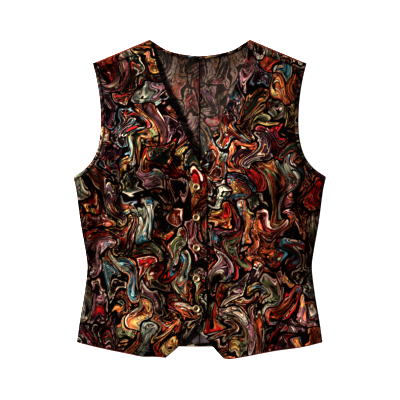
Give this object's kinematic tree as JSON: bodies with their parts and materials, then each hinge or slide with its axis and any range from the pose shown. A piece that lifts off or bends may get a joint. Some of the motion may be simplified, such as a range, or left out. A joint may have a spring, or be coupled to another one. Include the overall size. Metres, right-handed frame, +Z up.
{
  "type": "waistcoat",
  "caption": "Sleeveless V-neck waistcoat of printed cloth with a cutaway point on each front, buttoned up and laid flat on its back.",
  "frame": {"origin": "on the surface the waistcoat lies on, in the middle of its outline", "axes": "+Y from the hem to the neck, +X to the right of someone looking down on the front (the wearer's left), +Z up out of the front"},
  "size_m": [0.4434, 0.5611, 0.0144],
  "materials": {
    "printed_cloth": "dark swirling print on a soft figured cloth with a slight sheen",
    "button_brass": "aged gilt rim round a dark sunk centre"
  },
  "bodies": {
    "root": {"back_left": "printed_cloth", "back_right": "printed_cloth", "front_left": "printed_cloth", "front_right": "printed_cloth", "armhole_band_left": "printed_cloth", "armhole_band_right": "printed_cloth", "neck_band": "printed_cloth", "back_hem_left": "printed_cloth", "back_hem_right": "printed_cloth", "button_1": "button_brass", "button_2": "button_brass", "button_3": "button_brass", "button_4": "button_brass", "button_5": "button_brass"}
  },
  "joints": []
}
